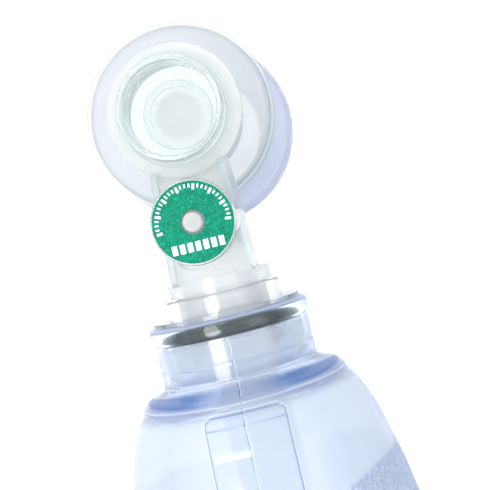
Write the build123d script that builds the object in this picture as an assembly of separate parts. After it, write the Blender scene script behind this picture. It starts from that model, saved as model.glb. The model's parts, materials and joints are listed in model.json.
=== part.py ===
"""Child-size bag valve mask: squeeze bag, swivelling patient valve, air-cushion mask and intake end.

Row frame, in millimetres: the origin is the centre of the patient port's mouth, +Z runs up the
valve's axis to the exhalation port and +X runs along the bag to its tail. Sub-parts are drawn about
the crossing of the valve's axis and the bag's axis, and every one is lifted by PORT_DROP when it is
written.
"""

import os
from math import cos, pi, radians, sin

from build123d import *

# Driving dimensions. Heights z and stations x are measured from the crossing of the two axes.
PORT_DROP = 31.0  # the patient port's mouth is this far below the bag's axis
GAP = 0.05  # running clearance between parts that turn or slide
SEAT = 0.02  # clearance between parts that only touch

# Patient valve head, turned about Z
CUP_R, CUP_WALL = 17.8, 1.6
FLANGE_R = 19.7
FLOOR_Z, FLOOR_T = -17.0, 1.6
CUP_TOP = 10.6
DECK_Z = 0.0  # top of the inlet chamber, where the exhalation flap rests
CHAMBER_R, CHAMBER_WALL = 12.6, 1.3
CHAMBER_FOOT = -7.5
SEAT_RIM_R, SEAT_RIM_Z = 12.9, -9.5
EXHALE_R, EXHALE_BORE = 15.0, 13.3  # 30 mm male exhalation port
EXHALE_TOP = 19.8
BOSS_R = 6.9
FLAP_T = 0.6
FLAP_LIFT = 1.2
DUCKBILL_LIFT = 1.1
STOP_Z = DECK_Z + FLAP_T + FLAP_LIFT + 0.4  # top of the boss, which carries the flap's stop
STOP_R, STOP_RECESS_R = 10.5, 8.3

# Patient connector: 22 mm outside, 15 mm inside
PORT_R, PORT_BORE = 11.0, 7.5
PORT_NECK_R = 10.4
PORT_SHOULDER_R = 12.4

# Neck from the head to the bag, with the relief valve on top
NECK_START, NECK_END = 12.0, 49.6
NECK_HALF_START, NECK_HALF_END = 10.7, 12.2
NECK_LOW, NECK_DECK, NECK_RAIL = -11.0, 10.5, 14.0
NECK_WALL = 1.7
RING_B_R, RING_B_END = 15.6, 53.2
SPIGOT_R, SPIGOT_BORE, SPIGOT_END = 13.6, 11.8, 73.0

RELIEF_X = 33.0
RELIEF_CAP_R = 12.0
RELIEF_CAP_FOOT, RELIEF_CAP_TOP = 17.6, 26.8
RELIEF_CHIMNEY_R, RELIEF_CHIMNEY_TOP = 9.2, 22.4
RELIEF_SEAT_Z = 12.0
RELIEF_BUTTON_R = 2.8
RELIEF_LIFT = 2.2
LABEL_R, LABEL_T = 11.3, 0.3

# Bag and the couplings in its two necks
LIP_X = 60.4
BAG_MID = 150.0
BAG_R, BAG_WALL = 46.0, 1.8
BAG_NECK_R, BAG_NECK_WALL = 23.4, 2.0
BAG_LIP_R, BAG_LIP_LENGTH = 24.3, 5.0
BAND_HALF_WIDTH, BAND_RISE = 11.0, 1.2
BAND_START, BAND_TURN = 85.2, -3.5  # the bag stands a few degrees turned in the swivel
COUPLING_R = BAG_NECK_R - BAG_NECK_WALL - GAP
COUPLING_FLANGE_R = 22.4
RING_A_R = 17.5
SLEEVE_WALL = 1.6
SEAL_GROOVE = 1.15

# Intake end, turned about X
SPIDER_X, SPIDER_T = 226.0, 1.6
TAIL_SPIGOT_R = 15.5
INTAKE_LIFT = 2.0
RESERVOIR_R, RESERVOIR_WALL = 26.0, 1.6
RESERVOIR_START, RESERVOIR_END = 243.0, 262.0
RESERVOIR_PORT_R, RESERVOIR_PORT_BORE, RESERVOIR_PORT_END = 11.0, 9.5, 276.0  # 22 mm male
SIDE_VALVE_PITCH_R = 19.3  # the nipple and the two small valves sit on this circle
SIDE_VALVE_ANGLE = 125.0  # degrees from the nipple, which is at the top
SIDE_FLAP_R, SIDE_LIFT = 4.6, 1.2
NIPPLE_R, NIPPLE_SEAT_R, NIPPLE_BORE, NIPPLE_END = 3.0, 3.6, 1.4, 279.0

# Mask, whose long axis is turned from the bag's axis
MASK_TURN = 38.5
MASK_COLLAR_TOP, MASK_COLLAR_FOOT = -19.4, -28.0
MASK_COLLAR_R = 13.3
MASK_RIM_R, MASK_RIM_SHIFT = 31.8, -6.0
MASK_RIM_Z, MASK_RIM_T = -32.0, 1.8
MASK_DOME_R, MASK_SKIN = 30.4, 1.5
MASK_LEVELS = ((-20.5, 13.3, 0.0), (-22.2, 19.7, -1.5), (-26.0, 26.4, -3.6))  # height, radius, shift
CUSHION_FOOT = -46.0
CUSHION_SHIFT = 2.4
CUSHION_R, CUSHION_HOLE_R = 31.2, 19.5
TUBE_R, TUBE_BORE = 2.3, 1.25
TUBE_TURN = -12.0  # degrees from +X towards +Y


def turned_z(*corners):
    """Solid of revolution about Z from (radius, z) corners."""
    return revolve(Plane.XZ * make_face(Polyline(*corners, close=True)), Axis.Z)


def turned_x(*corners):
    """Solid of revolution about X from (x, radius) corners."""
    return revolve(Plane.XZ * make_face(Polyline(*corners, close=True)), Axis.X)


def tube_z(low, high, outer, inner=0.0):
    return turned_z((inner, low), (outer, low), (outer, high), (inner, high))


def tube_x(start, end, outer, inner=0.0):
    return turned_x((start, inner), (end, inner), (end, outer), (start, outer))


def block(x, y, z):
    """Box from (low, high) pairs."""
    size = [pair[1] - pair[0] for pair in (x, y, z)]
    centre = [(pair[0] + pair[1]) / 2 for pair in (x, y, z)]
    return Pos(*centre) * Box(*size)


def around_z(part, count, first=0.0):
    return [Rot(0, 0, first + 360 * i / count) * part for i in range(count)]


def around_x(part, count, first=0.0):
    return [Rot(first + 360 * i / count, 0, 0) * part for i in range(count)]


def arc_slot(radius, width, span, depth):
    """Rounded slot along an arc about Z, centred on +X, from z 0 up to depth."""
    half = radians(span) / 2
    ends = [(radius * cos(a), radius * sin(a)) for a in (-half, half)]
    path = ThreePointArc(ends[0], (radius, 0), ends[1])
    return extrude(SlotArc(path, width), depth)


def neck_plan(inset, start, end):
    """Plan of the neck between two stations: its sides spread towards the bag."""
    slope = (NECK_HALF_END - NECK_HALF_START) / (NECK_END - NECK_START)
    near = NECK_HALF_START + slope * (start - NECK_START) - inset
    far = NECK_HALF_START + slope * (end - NECK_START) - inset
    return make_face(Polyline((start, -near), (end, -far), (end, far), (start, near), close=True))


def neck_shell():
    """Box-shaped duct with two raised rails and a sunken deck, rounded at its bag end."""
    shell = Pos(0, 0, NECK_LOW) * extrude(neck_plan(0, NECK_START, NECK_END), NECK_RAIL - NECK_LOW)
    shell = fillet(shell.edges().filter_by(Axis.X, tolerance=3).group_by(Axis.Z)[0], 3.0)
    recess_end = NECK_END - 3.4
    recess = extrude(neck_plan(NECK_WALL, NECK_START, recess_end), NECK_RAIL)
    recess = fillet(recess.edges().filter_by(Axis.Z).group_by(Axis.X)[-1], 7.0)
    return shell - Pos(0, 0, NECK_DECK) * recess


def valve_body():
    """One moulding: cup, exhalation seat, neck, relief seat and the spigot for the bag's coupling."""
    cup = tube_z(FLOOR_Z, CUP_TOP, CUP_R) + tube_z(CUP_TOP - 2.0, CUP_TOP, FLANGE_R)
    body = cup + neck_shell()
    body += tube_x(NECK_END - 0.5, RING_B_END, RING_B_R) + tube_x(RING_B_END, SPIGOT_END, SPIGOT_R)
    body += Pos(RELIEF_X, 0) * tube_z(NECK_DECK - 0.2, RELIEF_CHIMNEY_TOP, RELIEF_CHIMNEY_R)

    cavity_r = CUP_R - CUP_WALL
    floor_top = FLOOR_Z + FLOOR_T
    body -= tube_z(floor_top, NECK_RAIL + 1, cavity_r)
    body -= tube_z(CUP_TOP, NECK_RAIL + 1, FLANGE_R + 0.15)
    body += tube_z(floor_top, SEAT_RIM_Z, SEAT_RIM_R, SEAT_RIM_R - 1.0)
    body += tube_z(DECK_Z - 3.0, DECK_Z - 1.45, cavity_r + 0.4, cavity_r - 0.7)
    body -= tube_z(FLOOR_Z - 1, floor_top + 1, PORT_NECK_R + GAP)

    # The duct: wide along the neck, narrowed to the chamber's stub at the cup, round in the spigot
    duct = Pos(0, 0, NECK_LOW + NECK_WALL) * extrude(
        neck_plan(NECK_WALL, CUP_R + 0.6, NECK_END), NECK_DECK - NECK_LOW - 2 * NECK_WALL
    )
    body -= duct + chamber_stub(0.0, CUP_R + 2.0, SEAT) + tube_x(NECK_END - 1, SPIGOT_END, SPIGOT_BORE)

    well = tube_z(RELIEF_SEAT_Z - 1.5, RELIEF_CHIMNEY_TOP, RELIEF_CHIMNEY_R - 1.6)
    well -= tube_z(RELIEF_SEAT_Z - 1.5, RELIEF_SEAT_Z, 6.2, 5.0)
    body -= Pos(RELIEF_X, 0) * (well + tube_z(NECK_DECK - 3, RELIEF_SEAT_Z, 5.0))

    body -= tube_x(64.0, 66.0, SPIGOT_R + 1, SPIGOT_R - 1.05)
    body -= tube_x(70.2, 71.4, SPIGOT_R + 1, SPIGOT_R - 0.75)
    return body


def chamber_stub(start, end, growth):
    """Outside of the inlet chamber's side stub, which reaches through the cup's wall."""
    half, low, high = 8.5 + growth, CHAMBER_FOOT + 0.5 - growth, DECK_Z - 1.5 + growth
    return block((start, end), (-half, half), (low, high))


def inlet_chamber():
    """Closed-top chamber fed from the bag, with the slotted deck that exhaled air leaves through."""
    chamber = tube_z(CHAMBER_FOOT, DECK_Z, CHAMBER_R) + chamber_stub(0, CUP_R + 0.5, 0)
    chamber += tube_z(DECK_Z - 1.4, DECK_Z, CUP_R - CUP_WALL - GAP)
    chamber += tube_z(DECK_Z, STOP_Z, BOSS_R)
    slot = Pos(0, 0, DECK_Z - 2) * arc_slot(13.9, 1.5, 34, 3)
    chamber -= around_z(slot, 7, 360 / 14 + 180)
    chamber -= tube_z(CHAMBER_FOOT - 1, DECK_Z - 1.3, CHAMBER_R - CHAMBER_WALL)
    chamber -= block((0, CUP_R + 1), (-7.2, 7.2), (CHAMBER_FOOT + 1.7, DECK_Z - 2.7))
    chamber -= tube_z(DECK_Z + 0.8, STOP_Z + 1, BOSS_R - 1.4)
    return chamber


def duckbill_valve():
    """Silicone duckbill: a flat flange with two lips that meet in a slit below it."""
    top, foot = SEAT_RIM_Z + SEAT + 0.8, FLOOR_Z + 4.3
    flange = tube_z(SEAT_RIM_Z + SEAT, top, 13.6)
    lips, slit = SlotOverall(17.0, 1.6), SlotOverall(15.0, 0.3)
    outer_lips = loft([Pos(0, 0, top - 0.4) * Circle(9.4), Pos(0, 0, foot) * lips], ruled=True)
    inner_lips = loft([Pos(0, 0, top) * Circle(8.5), Pos(0, 0, foot - 0.01) * slit], ruled=True)
    return flange + outer_lips - inner_lips


def exhalation_flap():
    """Thin silicone ring that lifts off the deck to let exhaled air out."""
    return tube_z(DECK_Z + SEAT, DECK_Z + SEAT + FLAP_T, 14.8, BOSS_R + 0.2)


def flap_stop():
    """Clear cap pressed into the chamber's boss; its brim stops the flap."""
    low = STOP_Z + SEAT
    stop = tube_z(low, low + 1.2, STOP_R) + tube_z(DECK_Z + 0.8 + SEAT, low, BOSS_R - 1.4 - SEAT)
    stop = fillet(stop.edges().group_by(Axis.Z)[-1], 0.6)
    return stop - tube_z(low + 0.5, low + 2, STOP_RECESS_R)


def exhalation_cap():
    """Lid of the head with the 30 mm male exhalation port."""
    lid = turned_z(
        (15.0, DECK_Z + SEAT),
        (16.1, DECK_Z + SEAT),
        (16.1, CUP_TOP + SEAT),
        (FLANGE_R, CUP_TOP + SEAT),
        (FLANGE_R, CUP_TOP + 1.6),
        (FLANGE_R - 0.6, CUP_TOP + 2.2),
        (EXHALE_R, CUP_TOP + 2.2),
        (EXHALE_R, EXHALE_TOP),
        (EXHALE_BORE, EXHALE_TOP),
        (EXHALE_BORE, CUP_TOP - 1.0),
        (15.0, CUP_TOP - 1.0),
    )
    return fillet(lid.edges().group_by(Axis.Z)[-1], 0.5)


def patient_connector():
    """22/15 mm patient port that snaps into the cup's floor and turns there."""
    floor_top = FLOOR_Z + FLOOR_T
    return turned_z(
        (PORT_BORE, -PORT_DROP),
        (PORT_R - 0.5, -PORT_DROP),
        (PORT_R, -PORT_DROP + 0.8),
        (PORT_R, FLOOR_Z - 2.2),
        (PORT_SHOULDER_R, FLOOR_Z - 2.2),
        (PORT_SHOULDER_R, FLOOR_Z - GAP),
        (PORT_NECK_R, FLOOR_Z - GAP),
        (PORT_NECK_R, floor_top + GAP),
        (PORT_NECK_R + 0.9, floor_top + GAP),
        (PORT_NECK_R + 0.3, floor_top + 1.4),
        (PORT_BORE + 1.2, floor_top + 1.4),
        (PORT_BORE, floor_top + 0.2),
    )


def relief_poppet():
    """Stem with the sealing plate below and the finger button on top."""
    plate = tube_z(RELIEF_SEAT_Z + 0.65, RELIEF_SEAT_Z + 2.0, 7.2)
    button = tube_z(RELIEF_CAP_TOP - 3.5, RELIEF_CAP_TOP + 1.7, RELIEF_BUTTON_R)
    button = fillet(button.edges().group_by(Axis.Z)[-1], 0.8)
    stem = tube_z(RELIEF_SEAT_Z + 2.0, RELIEF_CAP_TOP - 3.5, 1.8)
    return Pos(RELIEF_X, 0) * (plate + stem + button)


def relief_seal():
    """Silicone disc under the poppet's plate."""
    return Pos(RELIEF_X, 0) * tube_z(RELIEF_SEAT_Z + SEAT, RELIEF_SEAT_Z + 0.63, 7.0)


def relief_spring():
    """Compression spring between the poppet's plate and the cap."""
    wire, coil_r, turns = 0.35, 4.4, 4.5
    low, high = RELIEF_SEAT_Z + 2.0 + SEAT + wire, RELIEF_CAP_TOP - 1.5 - SEAT - wire
    path = Pos(RELIEF_X, 0, low) * Helix((high - low) / turns, high - low, coil_r)
    return sweep(Plane(path @ 0, z_dir=path % 0) * Circle(wire), path, is_frenet=True)


def relief_cap():
    """Clear cap: four snap fingers grip the chimney, and the gaps between them vent under the skirt."""
    plate_foot = RELIEF_CAP_TOP - 1.5
    cap = tube_z(RELIEF_CAP_FOOT, RELIEF_CAP_TOP, RELIEF_CAP_R)
    cap = fillet(cap.edges().group_by(Axis.Z)[-1], 0.5)
    cap -= tube_z(RELIEF_CAP_FOOT - 1, plate_foot, RELIEF_CAP_R - 1.1)
    fingers = tube_z(RELIEF_CAP_FOOT + 0.3, plate_foot, RELIEF_CHIMNEY_R + 1.0, RELIEF_CHIMNEY_R + GAP)
    vent = block((0, RELIEF_CAP_R - 1.2), (-3.0, 3.0), (RELIEF_CAP_FOOT, plate_foot))
    fingers -= around_z(vent, 4, 45)
    guide = tube_z(plate_foot - 1.2, plate_foot, RELIEF_BUTTON_R + 1.0)
    guide += tube_z(plate_foot, RELIEF_CAP_TOP + 0.5, RELIEF_BUTTON_R + 0.5)
    bore = tube_z(plate_foot - 2, RELIEF_CAP_TOP + 1, RELIEF_BUTTON_R + 0.1)
    return Pos(RELIEF_X, 0) * (cap + fingers + guide - bore)


def relief_label():
    """Round coloured label on the cap, open in the middle for the button."""
    low = RELIEF_CAP_TOP + SEAT
    return Pos(RELIEF_X, 0) * tube_z(low, low + LABEL_T, LABEL_R, RELIEF_BUTTON_R + 0.52)


def swivel_seal():
    """O-ring in the spigot's groove."""
    return revolve(Plane.XZ * Pos(65.0, SPIGOT_R - 0.5) * Circle(0.48), Axis.X)


def split_ring(start, end, outer, inner):
    """Open retaining ring about X, with its gap at the bottom."""
    return tube_x(start, end, outer, inner) - block((start - 1, end + 1), (-1.5, 1.5), (-outer - 1, 0))


def swivel_clip():
    """Retaining ring that holds the spigot in the coupling."""
    return split_ring(70.25, 71.35, 15.1, SPIGOT_R - 0.7)


def bag_coupling():
    """Clear bush fixed in the bag's front neck; the valve's spigot turns in it."""
    bore = SPIGOT_R + GAP
    coupling = turned_x(
        (RING_B_END + 0.5, bore),
        (70.1, bore),
        (70.1, bore + 1.6),
        (LIP_X + 1.4, bore + 1.6),
        (LIP_X + 1.4, COUPLING_R - SEAL_GROOVE - SLEEVE_WALL),
        (76.0, COUPLING_R - SEAL_GROOVE - SLEEVE_WALL),
        (76.0, COUPLING_R - 0.6),
        (75.4, COUPLING_R),
        (LIP_X + 5.6, COUPLING_R),
        (LIP_X + 5.6, COUPLING_R - SEAL_GROOVE),
        (LIP_X + 0.6, COUPLING_R - SEAL_GROOVE),
        (LIP_X + 0.6, COUPLING_R),
        (LIP_X - GAP, COUPLING_R),
        (LIP_X - GAP, COUPLING_FLANGE_R),
        (LIP_X - 1.2, COUPLING_FLANGE_R),
        (LIP_X - 1.2, RING_A_R),
        (RING_B_END + 0.5, RING_A_R),
    )
    front_edges = coupling.edges().filter_by(GeomType.CIRCLE).group_by(Axis.X)[0]
    return fillet(front_edges.sort_by(SortBy.RADIUS)[-1:], 0.8)


def neck_seal():
    """Dark rubber ring in the front coupling's groove, pressed against the inside of the bag's lip."""
    return tube_x(LIP_X + 0.7, LIP_X + 5.5, COUPLING_R - 0.02, COUPLING_R - SEAL_GROOVE + 0.02)


def tail(station):
    """Station at the tail that mirrors one at the front neck."""
    return 2 * BAG_MID - station


def tail_seal():
    """The same ring at the tail."""
    return Pos(2 * BAG_MID, 0, 0) * Rot(0, 0, 180) * neck_seal()


def bag_outline(inset):
    """Half section of the bag, grown inwards by inset: lip, neck, shoulder and long swell."""
    shoulder, flare, ridge = (77.8, BAG_NECK_R), (80.2, 25.4), (82.2, 29.6)
    bulge, grip = (98.0, 37.9), (119.3, 42.7)
    lip_end = LIP_X + BAG_LIP_LENGTH

    def half(place):
        def at(x, r):
            return (place(x), r - inset)

        neck = Polyline(
            at(LIP_X, BAG_LIP_R - 0.8),
            at(LIP_X + 0.8, BAG_LIP_R),
            at(lip_end - 0.8, BAG_LIP_R),
            at(lip_end, BAG_NECK_R),
            at(*shoulder),
            at(*flare),
            at(*ridge),
        )
        side = 1 if place(1) > place(0) else -1
        tangents = [(side * 0.75, 1.0), (side * 1.0, 0.0)]
        swell = Spline(at(*ridge), at(*bulge), at(*grip), at(BAG_MID, BAG_R), tangents=tangents)
        return neck + swell

    mouth = BAG_LIP_R - 0.8 - inset
    closing = Polyline((LIP_X, mouth), (LIP_X, 0), (tail(LIP_X), 0), (tail(LIP_X), mouth))
    return Plane.XZ * make_face((half(lambda x: x) + half(tail) + closing).edges())


def squeeze_bag():
    """Hollow PVC bag with a neck at each end and a raised band along its top and its underside."""
    bag = revolve(bag_outline(0.0), Axis.X)
    band = extrude(
        Pos(BAG_MID, 0) * RectangleRounded(2 * (BAG_MID - BAND_START), 2 * BAND_HALF_WIDTH, 3.0),
        BAG_R + 10,
        both=True,
    )
    bag += revolve(bag_outline(-BAND_RISE), Axis.X) & (Rot(BAND_TURN, 0, 0) * band)
    bag -= revolve(bag_outline(BAG_WALL), Axis.X) & tube_x(78.5, tail(78.5), BAG_R)
    bag -= tube_x(LIP_X - 5, tail(LIP_X - 5), BAG_NECK_R - BAG_NECK_WALL)
    return bag


def tail_coupling():
    """Clear bush in the bag's tail neck, with a socket for the reservoir head and the intake spider."""
    bore = TAIL_SPIGOT_R + GAP
    inner = COUPLING_R - SEAL_GROOVE - SLEEVE_WALL
    coupling = turned_x(
        (tail(LIP_X - 1.4), bore),
        (232.2, bore),
        (232.2, bore + 1.5),
        (tail(LIP_X + 1.4), bore + 1.5),
        (tail(LIP_X + 1.4), inner),
        (SPIDER_X + SPIDER_T, inner),
        (SPIDER_X + SPIDER_T, 0),
        (SPIDER_X, 0),
        (SPIDER_X, inner - 1.0),
        (SPIDER_X - 2, inner),
        (SPIDER_X - 2, COUPLING_R - 0.6),
        (SPIDER_X - 1.4, COUPLING_R),
        (tail(LIP_X + 5.6), COUPLING_R),
        (tail(LIP_X + 5.6), COUPLING_R - SEAL_GROOVE),
        (tail(LIP_X + 0.6), COUPLING_R - SEAL_GROOVE),
        (tail(LIP_X + 0.6), COUPLING_R),
        (tail(LIP_X - GAP), COUPLING_R),
        (tail(LIP_X - GAP), COUPLING_FLANGE_R),
        (tail(LIP_X - 1.4), COUPLING_FLANGE_R),
    )
    window = Plane.YZ.offset(SPIDER_X - 1) * arc_slot(8.8, 5.0, 18, SPIDER_T + 2)
    coupling -= around_x(window, 6)
    return coupling - tube_x(SPIDER_X - 1, SPIDER_X + SPIDER_T + 1, 1.6)


def umbrella(face, disc_r, thickness, stem_r, stem_length, bulb_r):
    """Umbrella valve about X: its disc stands before the face, at lower x, its stem behind."""
    disc = turned_x(
        (face - SEAT, 0),
        (face - SEAT, disc_r),
        (face - SEAT - 0.45 * thickness, disc_r),
        (face - SEAT - thickness, 0.75 * disc_r),
        (face - SEAT - 1.5 * thickness, 0),
    )
    stem = tube_x(face - SEAT - 0.2, face + stem_length, stem_r)
    bulb = turned_x(
        (face + stem_length, 0),
        (face + stem_length, bulb_r),
        (face + stem_length + bulb_r, 0.6 * bulb_r),
        (face + stem_length + bulb_r, 0),
    )
    return disc + stem + bulb


def intake_flap():
    """Umbrella valve on the bag side of the spider: it lets air in as the bag refills."""
    return umbrella(SPIDER_X, 13.4, 0.8, 1.5, SPIDER_T + INTAKE_LIFT + 0.3, 2.4)


def at_side_valve(part, sign):
    """Moves a part drawn about X to one of the two small valves' places."""
    angle = radians(90 + sign * SIDE_VALVE_ANGLE)
    return Pos(0, SIDE_VALVE_PITCH_R * cos(angle), SIDE_VALVE_PITCH_R * sin(angle)) * part


def reservoir_head():
    """Round housing that turns on the tail coupling and holds the oxygen and reservoir ports."""
    wall, end = RESERVOIR_WALL, RESERVOIR_END
    head = turned_x(
        (230.4, TAIL_SPIGOT_R - 1.6),
        (230.4, TAIL_SPIGOT_R),
        (RESERVOIR_START - 1.0, TAIL_SPIGOT_R),
        (RESERVOIR_START - 1.0, RESERVOIR_R - 1.5),
        (RESERVOIR_START + 0.5, RESERVOIR_R),
        (end - 1.0, RESERVOIR_R),
        (end, RESERVOIR_R - 1.0),
        (end, RESERVOIR_PORT_R),
        (RESERVOIR_PORT_END, RESERVOIR_PORT_R),
        (RESERVOIR_PORT_END, RESERVOIR_PORT_BORE),
        (end - wall, RESERVOIR_PORT_BORE),
        (end - wall, RESERVOIR_R - wall),
        (RESERVOIR_START + wall - 1.0, RESERVOIR_R - wall),
        (RESERVOIR_START + wall - 1.0, TAIL_SPIGOT_R - 1.6),
    )
    head -= tube_x(231.0, 232.1, TAIL_SPIGOT_R + 1, TAIL_SPIGOT_R - 0.75)
    head -= tube_x(236.0, 238.0, TAIL_SPIGOT_R + 1, TAIL_SPIGOT_R - 1.05)
    window = Pos(end - wall - 1, 0, 2.9) * tube_x(0, wall + 2, 1.05)
    windows = around_x(window, 6)
    centre_hole = tube_x(end - wall - 1, end + 1, 1.0)
    for sign in (-1, 1):
        head -= [at_side_valve(cut, sign) for cut in windows + [centre_hole]]
    return head - Pos(0, 0, SIDE_VALVE_PITCH_R) * tube_x(end - wall - 1, end + 1, NIPPLE_SEAT_R + SEAT)


def reservoir_seal():
    """O-ring in the reservoir head's spigot."""
    return revolve(Plane.XZ * Pos(237.0, TAIL_SPIGOT_R - 0.5) * Circle(0.48), Axis.X)


def reservoir_clip():
    """Retaining ring that holds the reservoir head in the tail coupling."""
    return split_ring(231.05, 232.05, 16.8, TAIL_SPIGOT_R - 0.7)


def air_inlet_flap():
    """Small umbrella valve inside the end plate: it lets room air in when the reservoir is empty."""
    face, stem = RESERVOIR_END - RESERVOIR_WALL, RESERVOIR_WALL + SIDE_LIFT + 0.2
    return at_side_valve(umbrella(face, SIDE_FLAP_R, 0.6, 0.9, stem, 1.5), -1)


def overflow_flap():
    """The same umbrella valve, facing out: it spills gas when the reservoir is full."""
    stem = RESERVOIR_WALL + SIDE_LIFT + 0.2
    flap = umbrella(0, SIDE_FLAP_R, 0.6, 0.9, stem, 1.5)
    return at_side_valve(Pos(RESERVOIR_END, 0, 0) * Rot(0, 0, 180) * flap, 1)


def oxygen_nipple():
    """Tapered nipple for the oxygen tubing, pressed through the end plate."""
    end, wall = RESERVOIR_END, RESERVOIR_WALL
    nipple = turned_x(
        (end - wall - 2.0, NIPPLE_BORE),
        (end - wall - 2.0, NIPPLE_SEAT_R + 1.0),
        (end - wall - SEAT, NIPPLE_SEAT_R + 1.0),
        (end - wall - SEAT, NIPPLE_SEAT_R),
        (end, NIPPLE_SEAT_R),
        (end, NIPPLE_R),
        (end + 10.0, NIPPLE_R),
        (end + 10.8, NIPPLE_R - 0.7),
        (end + 13.2, NIPPLE_R - 0.2),
        (end + 13.2, NIPPLE_R - 0.9),
        (end + 15.6, NIPPLE_R - 0.4),
        (NIPPLE_END, NIPPLE_R - 1.1),
        (NIPPLE_END, NIPPLE_BORE),
    )
    return Pos(0, 0, SIDE_VALVE_PITCH_R) * nipple


def on_mask(part):
    """Turns a part drawn with the mask's long axis on X to where the mask stands."""
    return Rot(0, 0, MASK_TURN) * part


def dome_bulge(skin):
    """Outside of the dome, grown inwards by skin: widening circles that drift to the nose end."""
    rim = (MASK_RIM_Z, MASK_DOME_R - skin, MASK_RIM_SHIFT)
    levels = [(z - skin, r - skin, shift) for z, r, shift in MASK_LEVELS] + [rim]
    return loft([Pos(shift, 0, z) * Circle(r) for z, r, shift in levels])


def mask_dome():
    """Clear dome with the 22 mm collar on top and a flat rim for the cushion."""
    dome = dome_bulge(0.0)
    dome += tube_z(MASK_COLLAR_FOOT, MASK_COLLAR_TOP, MASK_COLLAR_R)
    dome += Pos(MASK_RIM_SHIFT, 0) * tube_z(MASK_RIM_Z - MASK_RIM_T, MASK_RIM_Z, MASK_RIM_R)
    dome -= dome_bulge(MASK_SKIN) - tube_z(MASK_COLLAR_FOOT, MASK_COLLAR_TOP, MASK_COLLAR_R)
    mouth = tube_z(MASK_RIM_Z - MASK_RIM_T - 1, MASK_RIM_Z, MASK_DOME_R - MASK_SKIN)
    dome -= Pos(MASK_RIM_SHIFT, 0) * mouth
    return on_mask(dome - tube_z(MASK_COLLAR_FOOT - 1, MASK_COLLAR_TOP + 1, PORT_R + GAP))


def cushion_outline(radius):
    """Egg-shaped outline: a circle under the dome's rim, drawn out towards the chin end."""
    nose, chin = (Pos(shift, 0) * Circle(radius) for shift in (MASK_RIM_SHIFT, CUSHION_SHIFT))
    return make_hull([*nose.edges(), *chin.edges()])


def mask_cushion():
    """Air cushion under the dome's rim, flat where it meets the face."""
    top = MASK_RIM_Z - MASK_RIM_T - SEAT
    ring = cushion_outline(CUSHION_R) - cushion_outline(CUSHION_HOLE_R)
    cushion = Pos(0, 0, CUSHION_FOOT) * extrude(ring, top - CUSHION_FOOT)
    cushion = fillet(cushion.edges().group_by(Axis.Z)[0], 4.4)
    cushion = fillet(cushion.edges().group_by(Axis.Z)[-1], 3.0)
    return on_mask(cushion) - inflation_tube_solid(TUBE_R + SEAT)


def at_tube(part):
    """Moves a part drawn along X to the inflation tube's place on the cushion's outside."""
    return Rot(0, 0, TUBE_TURN) * Pos(0, 0, (MASK_RIM_Z - MASK_RIM_T + CUSHION_FOOT) / 2 + 0.8) * part


def inflation_tube_solid(radius):
    return at_tube(tube_x(29.5, 41.0, radius))


def inflation_tube():
    """Short filling tube let into the cushion."""
    return inflation_tube_solid(TUBE_R) - at_tube(tube_x(31.0, 42.0, TUBE_BORE))


def inflation_plug():
    """Plug that closes the filling tube and pulls out."""
    plug = tube_x(33.5, 41.1, TUBE_BORE - GAP) + tube_x(41.0 + GAP, 43.6, 2.7)
    return at_tube(fillet(plug.edges().filter_by(GeomType.CIRCLE).group_by(Axis.X)[-1], 0.6))


NODES = {
    "valve_body": valve_body,
    "inlet_chamber": inlet_chamber,
    "duckbill_valve": duckbill_valve,
    "exhalation_flap": exhalation_flap,
    "flap_stop": flap_stop,
    "exhalation_cap": exhalation_cap,
    "patient_connector": patient_connector,
    "relief_poppet": relief_poppet,
    "relief_seal": relief_seal,
    "relief_spring": relief_spring,
    "relief_cap": relief_cap,
    "relief_label": relief_label,
    "swivel_seal": swivel_seal,
    "swivel_clip": swivel_clip,
    "bag_coupling": bag_coupling,
    "neck_seal": neck_seal,
    "squeeze_bag": squeeze_bag,
    "tail_seal": tail_seal,
    "tail_coupling": tail_coupling,
    "intake_flap": intake_flap,
    "reservoir_head": reservoir_head,
    "reservoir_seal": reservoir_seal,
    "reservoir_clip": reservoir_clip,
    "air_inlet_flap": air_inlet_flap,
    "overflow_flap": overflow_flap,
    "oxygen_nipple": oxygen_nipple,
    "mask_dome": mask_dome,
    "mask_cushion": mask_cushion,
    "inflation_tube": inflation_tube,
    "inflation_plug": inflation_plug,
}

os.makedirs("parts", exist_ok=True)
for name, build in NODES.items():
    export_step(Pos(0, 0, PORT_DROP) * build(), f"parts/{name}.step")
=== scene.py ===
"""Looks of the bag valve mask: soft pieces built as shells, clear plastics, label, floor, lights, camera."""

import json
import math

import bpy
from mathutils import Matrix, Vector, noise


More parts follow.
